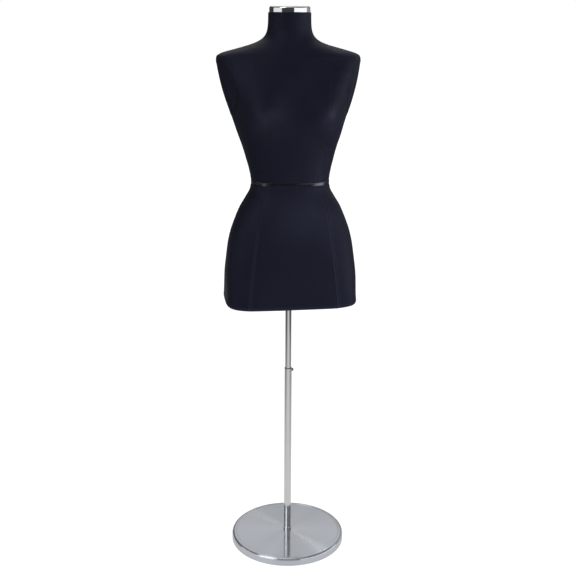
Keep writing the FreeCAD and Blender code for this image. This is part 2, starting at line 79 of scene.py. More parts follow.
# Height, half width, y of the side line, y of the front, y of the back,
# then how square the front and the back are (2 is an ellipse). The half widths and the side line
# come from a scratch solver that fitted them to the photograph's outline. They were rounded, and
# some were then changed. The other columns were guessed.
STATIONS = np.array((
    (691.5, 166.8, -9, -117, 86, 4.6, 4.6),
    (717, 165.6, -14, -116, 94, 4.2, 4.0),
    (765, 164.4, -20, -113, 100, 3.6, 3.4),
    (813, 160.0, -21, -111, 103, 3.1, 2.9),
    (844, 156.0, -21, -108, 101, 2.8, 2.6),
    (875, 149.2, -21, -105, 97, 2.6, 2.5),
    (906, 138.6, -21, -102, 91, 2.45, 2.4),
    (937, 125.4, -21, -98, 83, 2.35, 2.3),
    (960, 111.8, -20, -94, 77, 2.25, 2.25),
    (983, 99.4, -19, -90, 72, 2.2, 2.2),
    (1000, 96.2, -17, -88, 71, 2.2, 2.2),
    (1028, 100.6, -14, -88, 72, 2.2, 2.2),
    (1058, 108.6, -9, -88, 77, 2.2, 2.2),
    (1087, 117.4, -5, -90, 84, 2.2, 2.25),
    (1117, 128.0, -1, -92, 91, 2.25, 2.35),
    (1146, 137.6, 1, -94, 97, 2.3, 2.45),
    (1175, 147.6, 1, -95, 101, 2.35, 2.5),
    (1204, 157.4, 3, -93, 104, 2.4, 2.5),
    (1233, 165.4, 6, -89, 105, 2.4, 2.5),
    (1261, 171.6, 11, -82, 103, 2.35, 2.4),
    (1280, 175.0, 14, -76, 98, 2.2, 2.3),
    (1293, 176.8, 16, -71, 93, 2.1, 2.15),
    (1299, 175.4, 16, -68, 90, 2.0, 2.1),
    (1306, 165.0, 16, -65, 85, 2.0, 2.0),
    (1313, 142.0, 15, -62, 80, 2.0, 2.0),
    (1320, 116.5, 14, -59, 76, 2.0, 2.0),
    (1327, 92.5, 12, -56, 72, 2.0, 2.0),
    (1334, 75.5, 10, -54, 69, 2.0, 2.0),
    (1341, 65.0, 8, -52.5, 66, 2.0, 2.0),
    (1350, 57.6, 6, -51, 62.5, 2.0, 2.0),
    (1362, 53.4, 5, -49.5, 59, 2.0, 2.0),
    (1380, 51.6, 4, -49, 57, 2.0, 2.0),
    (1401, 51.2, 4, -49, 57, 2.0, 2.0),
), float)
BUST_X, BUST_Z, BUST_OUT = 80.0, 1163.0, 27.0
BUST_SPREAD_X, BUST_SPREAD_UP, BUST_SPREAD_DOWN = 43.0, 62.0, 40.0
BUST_VALLEY = 8.0
BUST_BLEND, FACET_BLEND = 3, 4
FACET_TURN = math.radians(25)
FACET_LEAN, FACET_SIDE, FACET_Z, FACET_SOFT = 0.263, 168.0, 1233.0, 4.0
FACET_FOOT_Z = (1100.0, 1160.0)
ARMHOLE_Y, ARMHOLE_Z, ARMHOLE_HALF_Y, ARMHOLE_HALF_Z = 5.0, 1226.0, 61.0, 64.0
TACK_COUNT = 14
TACK_AT = 0.9
TACK_PRESS, TACK_PRESS_R = 0.55, 5.0
TACK_PLEATS, TACK_PLEAT_H, TACK_PLEAT_R = 7, 0.18, 13.0
UNDERSIDE_HOLE_R = 10.6
UNDERSIDE_WAVE, FLANGE_CLEAR_R = 0.12, 42.0
UNDERSIDE_RIM_PULL, UNDERSIDE_RIM_WIDTH = 0.5, 1.5

# ---- how the cover lies: heights off the smooth form, then where and how wide
SEAM_DIP, SEAM_DIP_WIDTH = 0.30, 1.1
SEAM_RIDGE, SEAM_RIDGE_AT, SEAM_RIDGE_WIDTH = 0.38, 3.2, 2.2
OVAL_SEAM_EASE = 1.5
OVAL_FULLNESS = 0.2
FAR_FROM_SEAM = 99.0
HEM_PULL, HEM_PULL_WIDTH = 0.3, 1.2
CINCH, CINCH_WIDTH = 0.55, 4.5
CINCH_LIP, CINCH_LIP_AT, CINCH_LIP_WIDTH = 0.35, 10.0, 5.0
PUCKER, PUCKER_WAVE, PUCKER_DRIFT, PUCKER_REACH = 0.16, 3.4, 19.0, 13.0
ABOUT_ROUND = 105.0
WAVES, DIAGONAL_WAVES = 0.16, 0.10

# ---- wear and painted highlights on the cover, from 0 to 1, then where and how wide: worn hem and shoulders, a worn bust with a painted highlight, and painted highlights on the belly and along the hip seams
BUST_WEAR_AND_HIGHLIGHT, BUST_WEAR_AND_HIGHLIGHT_WIDTH = 0.7, 22.0
WORN_HEM, WORN_HEM_RISE, WORN_HEM_WIDTH = 0.3, 6.0, 5.0
WORN_SHOULDER, SHOULDER_Z, WORN_SHOULDER_WIDTH = 0.3, 1299.0, 6.0
WORN_SHOULDER_FROM_X, WORN_SHOULDER_FADE = 120.0, 40.0
SEAM_HIGHLIGHT, SEAM_HIGHLIGHT_AT, SEAM_HIGHLIGHT_WIDTH = 0.4, 2.4, 1.9
SEAM_HIGHLIGHT_TOP_Z, SEAM_HIGHLIGHT_FADE, LEAST_SEAM_HIGHLIGHT = 980.0, 130.0, 0.06
BELLY_HIGHLIGHT, BELLY_X, BELLY_Z, BELLY_SPREAD_X, BELLY_SPREAD_Z = 0.55, 15.0, 925.0, 75.0, 60.0
CLEAR_OF_SEAM_HIGHLIGHT = 9.0

# ---- fineness of the cover's meshes
ROW_STEP, LEAST_ROW_STEP, FINE_STEP = 2.8, 0.05, 0.1
PANEL_SAMPLES = 260
LEAST_PANEL_TURN = 0.004
LEAST_LEAN = 0.5
ARMHOLE_GRID = (46, 200)
UNDERSIDE_GRID = (60, 360)

# ---- ribbon
RIBBON_HALF = 4.0
RIBBON_OUTER, RIBBON_INNER = 0.82, 0.1
RIBBON_EDGE_DROP = 0.32
RIBBON_LAYER = 0.85
RIBBON_DRIFT, RIBBON_RIPPLE = 0.25, 0.06
RIBBON_START, RIBBON_END = math.radians(88), math.radians(100)
RIBBON_STEPS = 560
STITCH_LOWS, STITCH_H, STITCH_HALF = (-2.6, 0.6), 2.0, 1.0
STITCH_OUT, STITCH_R = 1.72, 0.22
STITCH_BOW, STITCH_DIVE = 0.35, 0.25
STITCH_BACK, WAIST_BACK_R = 0.035, 72.0

# ---- stand, as the CAD pieces
BASE_R = 152.5
COVER_EDGE_Z = 1.5
COVER_T = 1.2
RIM_ROLL_R = 9.0
RIM_TOP_Z = 24.0
STEP_R = 140.0
STEP_DEPTH = 0.9
STEP_SLOPE = 0.9
CROWN_Z = 24.6
CROWN_DROP = 1.5
LOWER_TUBE_R = 9.5
LOWER_BORE_R = 8.7
LOWER_TUBE_FOOT_Z = 17.0
LOWER_TUBE_TOP_Z = 499.5
COLLAR_R = 11.0
COLLAR_H = 8.0
BUSH_FLANGE_T = 1.5
BUSH_LENGTH = 49.0
UPPER_TUBE_R = 8.0
UPPER_BORE_R = 6.8
UPPER_TUBE_FOOT_Z = 151.0
UPPER_TUBE_TOP_Z = 794.0
RUNNING_GAP = 0.08
CAP_T = 1.2
CAP_ROUND, CAP_INNER_ROUND = 4.5, 3.2

FRONT_SEAM = np.array(((640, 112), (691.5, 111), (800, 101), (900, 87), (1000, 75), (1080, 78),
                       (1163, 81), (1240, 86), (1300, 93), (1345, 99), (1440, 104)), float)
BACK_SEAM = np.array(((640, 92), (691.5, 91), (800, 85), (900, 74), (1000, 62), (1100, 70),
                      (1200, 82), (1300, 93), (1345, 99), (1440, 104)), float)


# ---------------------------------------------------------------- camera and light
def look_from(location, direction, roll=0.0):
    back = -direction.normalized()
    turn = back.to_track_quat("Z", "Y").to_matrix() @ Matrix.Rotation(roll, 3, "Z")
    return Matrix.Translation(location) @ turn.to_4x4()


def make_camera():
    data = bpy.data.cameras.new("camera")
    data.lens = CAMERA_LENS
    data.sensor_width = 36.0
    data.shift_x = CAMERA_SHIFT_X
    camera = bpy.data.objects.new("camera", data)
    bpy.context.scene.collection.objects.link(camera)
    away = Vector((math.sin(CAMERA_TURN), -math.cos(CAMERA_TURN), 0))
    location = away * CAMERA_DISTANCE * MM + Vector((0, 0, CAMERA_HEIGHT * MM))
    direction = -away * math.cos(CAMERA_PITCH) - Vector((0, 0, math.sin(CAMERA_PITCH)))
    camera.matrix_world = look_from(location, direction, CAMERA_ROLL)
    bpy.context.scene.camera = camera


def around_object(turn_deg, distance, height):
    """A place this far from the pole, at an angle to the right of the camera's own side."""
    turn = CAMERA_TURN + math.radians(turn_deg)
    return Vector((math.sin(turn) * distance, -math.cos(turn) * distance, height))


def soft_box(name, turn_deg, distance, height, width, tall, power, aim_height):
    data = bpy.data.lights.new(name, "AREA")
    data.shape = "RECTANGLE"
    data.size, data.size_y = width, tall
    data.energy = power
    light = bpy.data.objects.new(name, data)
    bpy.context.scene.collection.objects.link(light)
    location = around_object(turn_deg, distance, height)
    light.matrix_world = look_from(location, Vector((0, 0, aim_height)) - location)
    light.visible_camera = False
    light.visible_glossy = False


# ---------------------------------------------------------------- nodes
class Shader:
    """A material with one Principled shader, built up node by node."""

    def __init__(self, name, **sockets):
        self.material = bpy.data.materials.new(name)
        self.material.use_nodes = True
        self.tree = self.material.node_tree
        self.surface = self.tree.nodes["Principled BSDF"]
        for socket, value in sockets.items():
            self.surface.inputs[socket.replace("_", " ")].default_value = value

    def add(self, kind, *inputs, out=0, **settings):
        node = self.tree.nodes.new("ShaderNode" + kind)
        for key, value in settings.items():
            if hasattr(node, key) and key not in node.inputs:
                setattr(node, key, value)
            else:
                self.give(node.inputs[key.replace("_", " ")], value)
        for socket, value in zip(node.inputs, inputs):
            if value is not None:
                self.give(socket, value)
        return node.outputs[out]

    def give(self, socket, value):
        if isinstance(value, bpy.types.NodeSocket):
            self.tree.links.new(value, socket)
        else:
            socket.default_value = value

    def maths(self, operation, *values):
        return self.add("Math", *values, operation=operation)

    def attribute(self, name, out=1):
        return self.add("Attribute", out=out, attribute_name=name)

    def mix(self, factor, a, b):
        """A colour between a and b."""
        node = self.tree.nodes.new("ShaderNodeMix")
        node.data_type = "RGBA"
        self.give(node.inputs[0], factor)
        self.give(node.inputs[6], a)
        self.give(node.inputs[7], b)
        return node.outputs[2]

    def ramp(self, value, low, high, to_low=0.0, to_high=1.0):
        return self.add("MapRange", value, low, high, to_low, to_high)

    def noise(self, vector, scale, detail=2.0, roughness=0.5):
        return self.add("TexNoise", Vector=vector, Scale=scale, Detail=detail, Roughness=roughness)

    def link(self, socket, value):
        self.give(self.surface.inputs[socket], value)

    def bump(self, height, distance, strength=1.0, below=None):
        settings = {"Strength": strength, "Distance": distance, "Height": height}
        if below is not None:
            settings["Normal"] = below
        node = self.tree.nodes.new("ShaderNodeBump")
        for key, value in settings.items():
            self.give(node.inputs[key], value)
        return node.outputs[0]


def place(shader):
    """Where a point of a piece is, in metres."""
    return shader.add("TexCoord", out=3)


# ---------------------------------------------------------------- materials
WALE, COURSE, V_DEPTH = 0.00105, 0.0008, 1.3
RIB, WARP = 0.0007, 0.0003
PLY_T = 0.0032


def make_jersey():
    """Black cotton jersey with a navy cast: rows of small V stitches under a short nap."""
    s = Shader("black_jersey", Sheen_Weight=0.02, Sheen_Roughness=0.4, Sheen_Tint=(0.35, 0.45, 1.0, 1),
               IOR=1.25, Specular_Tint=(0.55, 0.62, 1.0, 1))
    node = s.add("SeparateXYZ", s.attribute("weave")).node
    across, along = node.outputs[0], node.outputs[1]
    wale = s.maths("FRACT", s.maths("DIVIDE", across, WALE))
    from_middle = s.maths("ABSOLUTE", s.maths("SUBTRACT", wale, 0.5))
    course = s.maths("ADD", s.maths("DIVIDE", along, COURSE), s.maths("MULTIPLY", from_middle, V_DEPTH))
    legs = s.maths("MULTIPLY_ADD", s.maths("COSINE", s.maths("MULTIPLY", course, 2 * math.pi)), 0.5, 0.5)
    ridge = s.maths("SUBTRACT", 1.0, s.maths("POWER", s.maths("MULTIPLY", from_middle, 2.0), 3.0))
    knit = s.maths("MULTIPLY", s.maths("MULTIPLY_ADD", legs, 0.55, 0.45), ridge)
    fuzz = s.noise(s.attribute("weave"), 2600.0, 3.0, 0.65)
    cloud = s.noise(s.attribute("weave"), 14.0, 3.0, 0.55)
    height = s.maths("ADD", knit, s.maths("MULTIPLY", fuzz, 0.5))
    seam_shade = s.ramp(s.attribute("edge", 2), 0.0, 0.8, 0.8, 1.0)
    # The cloth is lightened and made smoother where it is worn (hem, shoulders, bust) and where highlights
    # are painted (bust, belly, hip seams).
    wear_and_highlight = s.attribute("wear_and_highlight", 2)
    # The low places of the knit are darker: painted shade in the stitch valleys.
    yarn = s.mix(knit, (0.0036, 0.0038, 0.0077, 1), (0.0088, 0.0093, 0.0182, 1))
    yarn = s.mix(s.maths("MULTIPLY", cloud, 0.35), yarn, (0.0125, 0.0135, 0.0260, 1))
    yarn = s.mix(s.maths("MULTIPLY", wear_and_highlight, 0.45), yarn, (0.034, 0.036, 0.060, 1))
    s.link("Base Color", s.mix(seam_shade, (0.002, 0.002, 0.0035, 1), yarn))
    s.link("Roughness", s.ramp(s.maths("ADD", cloud, s.maths("MULTIPLY", wear_and_highlight, -0.6)), 0.1, 0.8, 0.36, 0.54))
    s.link("Normal", s.bump(height, 0.00010, 0.5))
    return s.material


def make_ribbon():
    """Glossy black ribbon: fine cross ribs and a polished face."""
    s = Shader("waist_ribbon", Coat_Weight=0.45, Coat_Roughness=0.12, Specular_IOR_Level=0.4,
               Coat_Tint=(0.92, 0.94, 1.0, 1), Specular_Tint=(0.75, 0.8, 1.0, 1))
    node = s.add("SeparateXYZ", s.attribute("weave")).node
    ribs = s.maths("SINE", s.maths("MULTIPLY", node.outputs[0], 2 * math.pi / RIB))
    warp = s.maths("SINE", s.maths("MULTIPLY", node.outputs[1], 2 * math.pi / WARP))
    weave = s.maths("MULTIPLY_ADD", s.maths("MULTIPLY", ribs, warp), 0.5, 0.5)
    waver = s.noise(s.attribute("weave"), 90.0, 3.0)
    s.link("Base Color", s.mix(weave, (0.002, 0.002, 0.004, 1), (0.006, 0.006, 0.011, 1)))
    s.link("Roughness", s.ramp(waver, 0.3, 0.7, 0.16, 0.30))
    fine = s.bump(weave, 0.00004, 0.5)
    s.link("Normal", s.bump(waver, 0.0004, 0.35, fine))
    return s.material


def make_chrome():
    """Polished chrome with hairline scratches and faint smears."""
    s = Shader("chrome", Metallic=1.0)
    at = place(s)
    node = s.add("SeparateXYZ", at).node
    turn = s.maths("ARCTAN2", node.outputs[1], node.outputs[0])
    lines = s.add("CombineXYZ", s.maths("MULTIPLY", turn, 6.0), 0.0,
                  s.maths("MULTIPLY", node.outputs[2], 900.0))
    hair = s.noise(lines, 1.0, 4.0, 0.7)
    smear = s.noise(at, 22.0, 3.0, 0.6)
    s.link("Base Color", s.mix(smear, (0.70, 0.71, 0.73, 1), (0.79, 0.79, 0.80, 1)))
    worn = s.maths("ADD", s.maths("MULTIPLY", smear, 0.6), s.maths("MULTIPLY", hair, 0.4))
    s.link("Roughness", s.ramp(worn, 0.35, 0.7, 0.035, 0.12))
    s.link("Normal", s.bump(hair, 0.00001, 0.25))
    return s.material


def make_spun():
    """Spun and brushed steel: fine rings round the middle."""
    s = Shader("spun_metal", Metallic=1.0, Anisotropic=1.0, Anisotropic_Rotation=0.25)
    at = place(s)
    node = s.add("SeparateXYZ", at).node
    x, y = node.outputs[0], node.outputs[1]
    radius = s.maths("SQRT", s.maths("ADD", s.maths("MULTIPLY", x, x), s.maths("MULTIPLY", y, y)))
    turn = s.maths("ARCTAN2", y, x)
    fine = s.noise(s.add("CombineXYZ", s.maths("MULTIPLY", radius, 5200.0),
                         s.maths("MULTIPLY", turn, 3.0), 0.0), 1.0, 3.0, 0.7)
    broad = s.noise(s.add("CombineXYZ", s.maths("MULTIPLY", radius, 420.0),
                          s.maths("MULTIPLY", turn, 0.7), 3.0), 1.0, 2.0, 0.6)
    smear = s.noise(at, 16.0, 3.0, 0.6)
    tone = s.maths("ADD", s.maths("MULTIPLY", fine, 0.6), s.maths("MULTIPLY", broad, 0.4))
    s.link("Base Color", s.mix(tone, (0.60, 0.63, 0.68, 1), (0.70, 0.73, 0.78, 1)))
    worn = s.maths("ADD", s.maths("MULTIPLY", tone, 0.7), s.maths("MULTIPLY", smear, 0.3))
    s.link("Roughness", s.ramp(worn, 0.3, 0.7, 0.19, 0.25))
    s.link("Tangent", s.add("Tangent", direction_type="RADIAL", axis="Z"))
    s.link("Normal", s.bump(fine, 0.00001, 0.3))
    return s.material


def make_metal(name, dark, light, rough):
    """A worn metal: mottled, with grit in its surface."""
    s = Shader(name, Metallic=1.0)
    at = place(s)
    mottle = s.noise(at, 44.0, 4.0, 0.6)
    grit = s.noise(at, 880.0, 3.0, 0.6)
    s.link("Base Color", s.mix(s.ramp(mottle, 0.3, 0.7), (*dark, 1), (*light, 1)))
    s.link("Roughness", s.ramp(mottle, 0.3, 0.7, rough[0], rough[1]))
    s.link("Normal", s.bump(grit, 0.00008, 0.4))
    return s.material


def make_plastic(name, dark, light, rough):
    """Moulded plastic or rubber with a fine grain."""
    s = Shader(name)
    at = place(s)
    grain = s.noise(at, 900.0, 3.0, 0.6)
    cloud = s.noise(at, 30.0, 2.0, 0.5)
    s.link("Base Color", s.mix(cloud, (*dark, 1), (*light, 1)))
    s.link("Roughness", s.ramp(grain, 0.3, 0.7, rough[0], rough[1]))
    s.link("Normal", s.bump(grain, 0.00005, 0.5))
    return s.material


def make_plywood():
    """Birch plywood: long grain on the faces and plies on the edge."""
    s = Shader("plywood", Roughness=0.6)
    at = place(s)
    node = s.add("SeparateXYZ", at).node
    stretch = s.add("CombineXYZ", s.maths("MULTIPLY", node.outputs[0], 14.0),
                    s.maths("MULTIPLY", node.outputs[1], 160.0), s.maths("MULTIPLY", node.outputs[2], 60.0))
    grain = s.noise(stretch, 1.0, 5.0, 0.65)
    ply = s.maths("FRACT", s.maths("DIVIDE", node.outputs[2], PLY_T))
    ply = s.ramp(s.maths("ABSOLUTE", s.maths("SUBTRACT", ply, 0.5)), 0.1, 0.4)
    wood = s.mix(s.ramp(grain, 0.3, 0.7), (0.42, 0.27, 0.14, 1), (0.66, 0.49, 0.30, 1))
    s.link("Base Color", s.mix(s.maths("MULTIPLY", ply, 0.35), wood, (0.30, 0.18, 0.09, 1)))
    s.link("Normal", s.bump(grain, 0.0002, 0.4))
    return s.material


MATERIALS = {
    "black_jersey": make_jersey(),
    "waist_ribbon": make_ribbon(),
    "chrome": make_chrome(),
    "spun_metal": make_spun(),
    "ballast_iron": make_metal("ballast_iron", (0.05, 0.05, 0.052), (0.10, 0.098, 0.095), (0.5, 0.75)),
    "base_rubber": make_plastic("base_rubber", (0.012, 0.012, 0.013), (0.022, 0.022, 0.023), (0.7, 0.9)),
    "nylon": make_plastic("nylon", (0.028, 0.029, 0.031), (0.045, 0.046, 0.05), (0.35, 0.5)),
    "body_shell": make_plastic("body_shell", (0.36, 0.33, 0.28), (0.48, 0.44, 0.37), (0.7, 0.9)),
    "plywood": make_plywood(),
    "zinc_steel": make_metal("zinc_steel", (0.50, 0.51, 0.53), (0.66, 0.67, 0.68), (0.25, 0.42)),
    "brass": make_metal("brass", (0.56, 0.40, 0.15), (0.72, 0.54, 0.24), (0.22, 0.36)),
    "black_steel": make_metal("black_steel", (0.012, 0.012, 0.013), (0.035, 0.035, 0.037), (0.28, 0.45)),
}


# ---------------------------------------------------------------- meshes
def new_piece(name, points, faces, slot, body, replaced=(), attributes=None):
    """A smooth shaded mesh piece from points in millimetres."""
    mesh = bpy.data.meshes.new(name)
    mesh.from_pydata([tuple(p) for p in np.asarray(points) * MM], [], [tuple(f) for f in faces])
    mesh.validate()
    mesh.polygons.foreach_set("use_smooth", np.ones(len(mesh.polygons), bool))
    for key, values in (attributes or {}).items():
        values = np.asarray(values, np.float32)
        kind, field = ("FLOAT_VECTOR", "vector") if values.ndim == 2 else ("FLOAT", "value")
        mesh.attributes.new(key, kind, "POINT").data.foreach_set(field, values.ravel())
    mesh.materials.append(MATERIALS[slot])
    piece = bpy.data.objects.new(name, mesh)
    bpy.context.scene.collection.objects.link(piece)
    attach(piece, body)
    if replaced:
        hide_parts(*replaced)
    return piece


def grid_faces(rows, columns, wrap=False, flip=False):
    """Four sided faces between neighbouring rows and columns of a grid of points."""
    last = columns if wrap else columns - 1
    i, j = np.meshgrid(np.arange(rows - 1), np.arange(last), indexing="ij")
    after = (j + 1) % columns
    a, b = i * columns + j, i * columns + after
    c, d = (i + 1) * columns + after, (i + 1) * columns + j
    corners = (a, d, c, b) if flip else (a, b, c, d)
    return np.stack(corners, -1).reshape(-1, 4)


def weld(piece):
    """Join points that coincide, and drop faces with no area."""
    distance = 0.002 * MM
    work = bmesh.new()
    work.from_mesh(piece.data)
    bmesh.ops.remove_doubles(work, verts=work.verts, dist=distance)
    bmesh.ops.dissolve_degenerate(work, edges=work.edges, dist=distance)
    work.to_mesh(piece.data)
    work.free()


def rounded(corners):
    """A closed profile of (radius, height) points, each corner rounded by its third number."""
    out = []
    count = len(corners)
    for k, (r, z, bend) in enumerate(corners):
        here = np.array((r, z))
        if bend <= 0:
            out.append(here)
            continue
        before = np.array(corners[k - 1][:2]) - here
        after = np.array(corners[(k + 1) % count][:2]) - here
        before, after = before / np.linalg.norm(before), after / np.linalg.norm(after)
        half = math.acos(np.clip(np.dot(before, after), -1, 1)) / 2
        reach = bend / math.tan(half)
        middle = here + (before + after) / np.linalg.norm(before + after) * bend / math.sin(half)
        start, end = here + before * reach, here + after * reach
        out.append(start + before * bend * 0.3)
        for t in np.linspace(0, 1, 7):
            a = start - middle
            b = end - middle
            angle = math.acos(np.clip(np.dot(a, b) / bend ** 2, -1, 1))
            out.append(middle + (a * math.sin((1 - t) * angle) + b * math.sin(t * angle)) / math.sin(angle))
        out.append(end + after * bend * 0.3)
    return out


def turned(name, profile, slot, body, replaced=(), centre=(0.0, 0.0), segments=192):
    """A piece turned round the vertical axis from a closed, anticlockwise profile of (radius, height)."""
    profile = np.array(profile)
    turn = np.linspace(0, 2 * math.pi, segments, endpoint=False)
    r, z = profile[:, 0][:, None], profile[:, 1][:, None]
    points = np.stack([centre[0] + r * np.cos(turn), centre[1] + r * np.sin(turn), z + 0 * turn], -1)
    rows = len(profile)
    faces = list(grid_faces(rows, segments, wrap=True))
    last = (rows - 1) * segments
    for j in range(segments):
        after = (j + 1) % segments
        faces.append((last + j, last + after, after, j))
    piece = new_piece(name, points.reshape(-1, 3), faces, slot, body, replaced)
    weld(piece)
    piece.data.set_sharp_from_angle(angle=math.radians(32))
    return piece


# ---------------------------------------------------------------- torso surface
HEIGHTS = STATIONS[:, 0]


def harmonic_slopes(values, heights):
    """Slopes for a smooth curve that never overshoots its points, flat at both ends."""
    steps = np.diff(values) / np.diff(heights)
    before, after = steps[:-1], steps[1:]
    with np.errstate(divide="ignore", invalid="ignore"):
        inner = np.where(before * after > 0, 2 * before * after / (before + after), 0.0)
    return np.concatenate([[0.0], inner, [0.0]])


def smooth_curve(values, heights, z):
    slopes = harmonic_slopes(values, heights)
    z = np.clip(z, heights[0], heights[-1])
    i = np.clip(np.searchsorted(heights, z, "right") - 1, 0, len(heights) - 2)
    step = heights[i + 1] - heights[i]
    t = (z - heights[i]) / step
    return (values[i] * (1 + 2 * t) * (1 - t) ** 2 + slopes[i] * step * t * (1 - t) ** 2
            + values[i + 1] * t * t * (3 - 2 * t) - slopes[i + 1] * step * t * t * (1 - t))


def side_line(z):
    return smooth_curve(STATIONS[:, 2], HEIGHTS, z)


def form(turn, z):
    """Points of the cover's outer surface; a turn of 0 is the left side and 90 degrees the back."""
    turn, z = np.broadcast_arrays(np.asarray(turn, float), np.asarray(z, float))
    half, side, front, back, front_square, back_square = [
        smooth_curve(STATIONS[:, k], HEIGHTS, z) for k in range(1, 7)]
    drop = np.clip(HEM_Z + HEM_ROUND - z, 0, HEM_ROUND)
    tuck = HEM_ROUND - np.sqrt(HEM_ROUND ** 2 - drop ** 2)
    c, s = np.cos(turn), np.sin(turn)
    depth = np.where(s > 0, back - side, side - front)
    square = np.where(s > 0, back_square, front_square)
    swell = (np.abs(c) ** square + np.abs(s) ** square) ** (-1 / square)
    x = (half - tuck) * c * swell
    y = side + (depth - tuck) * s * swell
    spread = np.where(z > BUST_Z, BUST_SPREAD_UP, BUST_SPREAD_DOWN)
    apart = (np.hypot(x, BUST_VALLEY) - BUST_X) / BUST_SPREAD_X
    y = y - BUST_OUT * np.exp(-apart ** 2 - ((z - BUST_Z) / spread) ** 2) * np.clip(-BUST_BLEND * s, 0, 1)
    reach = FACET_SIDE + FACET_LEAN * (z - FACET_Z)
    limit = reach * math.cos(FACET_TURN) - side * math.sin(FACET_TURN)
    over = np.abs(x) * math.cos(FACET_TURN) - y * math.sin(FACET_TURN) - limit
    low, high = FACET_FOOT_Z
    trim = FACET_SOFT * np.logaddexp(0, np.minimum(over / FACET_SOFT, 30.0))
    trim = trim * np.clip((z - low) / (high - low), 0, 1) * np.clip(-FACET_BLEND * s, 0, 1)
    x = x - np.copysign(trim * math.cos(FACET_TURN), x)
    y = y + trim * math.sin(FACET_TURN)
    return np.stack([x, y, z], -1)


def form_normal(turn, z):
    """Outward unit normals of the surface."""
    across = form(turn + 0.01, z) - form(turn - 0.01, z)
    high = form(turn, np.minimum(z + 0.4, NECK_TOP_Z))
    low = form(turn, np.maximum(z - 0.4, HEM_Z + 0.02))
    normal = np.cross(across, high - low)
    return normal / np.linalg.norm(normal, axis=-1, keepdims=True)


def turn_where(measure, target, z, low, high):
    """The turn between low and high at which a measure of the surface's point reaches target."""
    target = np.asarray(target, float)
    a, b = np.full(np.shape(z), low), np.full(np.shape(z), high)
    rising = measure(form(b, z)) > measure(form(a, z))
    for _ in range(44):
        middle = (a + b) / 2
        short = (measure(form(middle, z)) < target) == rising
        a, b = np.where(short, middle, a), np.where(short, b, middle)
    return (a + b) / 2


def across_x(points):
    return points[..., 0]


def across_y(points):
    return points[..., 1]


def row_heights():
    """Heights of the rows of the cover's meshes, close together where the surface turns fast."""
    fine = np.concatenate([
        HEM_Z + HEM_ROUND * (1 - np.cos(np.linspace(0, math.pi / 2, 60))),
        np.arange(HEM_Z + HEM_ROUND + FINE_STEP, NECK_TOP_Z, FINE_STEP), [NECK_TOP_Z]])
    turns = np.radians(np.arange(-90, 91, 15))
    points = form(turns[None, :], fine[:, None])
    steps = np.linalg.norm(np.diff(points, axis=0), axis=2).max(axis=1)
    along = np.concatenate([[0], np.cumsum(steps)])
    count = int(along[-1] / ROW_STEP)
    rows = np.interp(np.linspace(0, along[-1], count), along, fine)
    oval = ARMHOLE_Z - ARMHOLE_HALF_Z * np.cos(np.radians(np.arange(0, 181, 4)))
    rows = np.unique(np.concatenate([rows, oval]))
    keep = np.concatenate([[True], np.diff(rows) > LEAST_ROW_STEP])
    keep[-1] = True
    return rows[keep]


ROWS = row_heights()
FRONT_X = smooth_curve(FRONT_SEAM[:, 1], FRONT_SEAM[:, 0], ROWS)
BACK_X = smooth_curve(BACK_SEAM[:, 1], BACK_SEAM[:, 0], ROWS)
QUARTER = math.pi / 2
FRONT_TURN = turn_where(across_x, FRONT_X, ROWS, -QUARTER, 0.0)
BACK_TURN = turn_where(across_x, BACK_X, ROWS, QUARTER, 0.0)
IN_OVAL = np.sqrt(np.clip(1 - ((ROWS - ARMHOLE_Z) / ARMHOLE_HALF_Z) ** 2, 0, 1)) * ARMHOLE_HALF_Y
OVAL_FRONT = np.where(IN_OVAL > 0, np.minimum(side_line(ROWS), ARMHOLE_Y - IN_OVAL), side_line(ROWS))
OVAL_BACK = np.where(IN_OVAL > 0, np.maximum(side_line(ROWS), ARMHOLE_Y + IN_OVAL), side_line(ROWS))
SIDE_FRONT_TURN = np.where(OVAL_FRONT < side_line(ROWS) - 1e-6,
                           turn_where(across_y, OVAL_FRONT, ROWS, -QUARTER, QUARTER), 0.0)
SIDE_BACK_TURN = np.where(OVAL_BACK > side_line(ROWS) + 1e-6,
                          turn_where(across_y, OVAL_BACK, ROWS, -QUARTER, QUARTER), 0.0)


def near(value, middle, width):
    """1 at the middle, falling to 0 on both sides of it within about twice the width."""
    return np.exp(-((value - middle) / width) ** 2)


def sewn(gap):
    """How far cloth stands out at this distance from a seam: a dip, then the seam allowance's ridge."""
    return -SEAM_DIP * near(gap, 0, SEAM_DIP_WIDTH) + SEAM_RIDGE * near(gap, SEAM_RIDGE_AT, SEAM_RIDGE_WIDTH)


def lie_of_cloth(points):
    """How far the stretched cloth stands off a smooth form, in millimetres."""
    x, y, z = points[..., 0], points[..., 1], points[..., 2]
    around = np.arctan2(y, x) * ABOUT_ROUND
    up = z - WAIST_Z
    cinch = -CINCH * near(up, 0, CINCH_WIDTH) + CINCH_LIP * near(np.abs(up), CINCH_LIP_AT, CINCH_LIP_WIDTH)
    ripple = np.sin(around / PUCKER_WAVE + 1.3 * np.sin(around / PUCKER_DRIFT))
    pucker = PUCKER * ripple * np.exp(-np.abs(up) / PUCKER_REACH)
    slow = (WAVES * np.sin(x / 17 + 1.7 * np.sin(z / 43)) * np.sin(z / 29 + 0.8 * np.sin(y / 31))
            + DIAGONAL_WAVES * np.sin((x + 0.6 * z) / 11 + y / 14))
    return cinch + pucker + slow


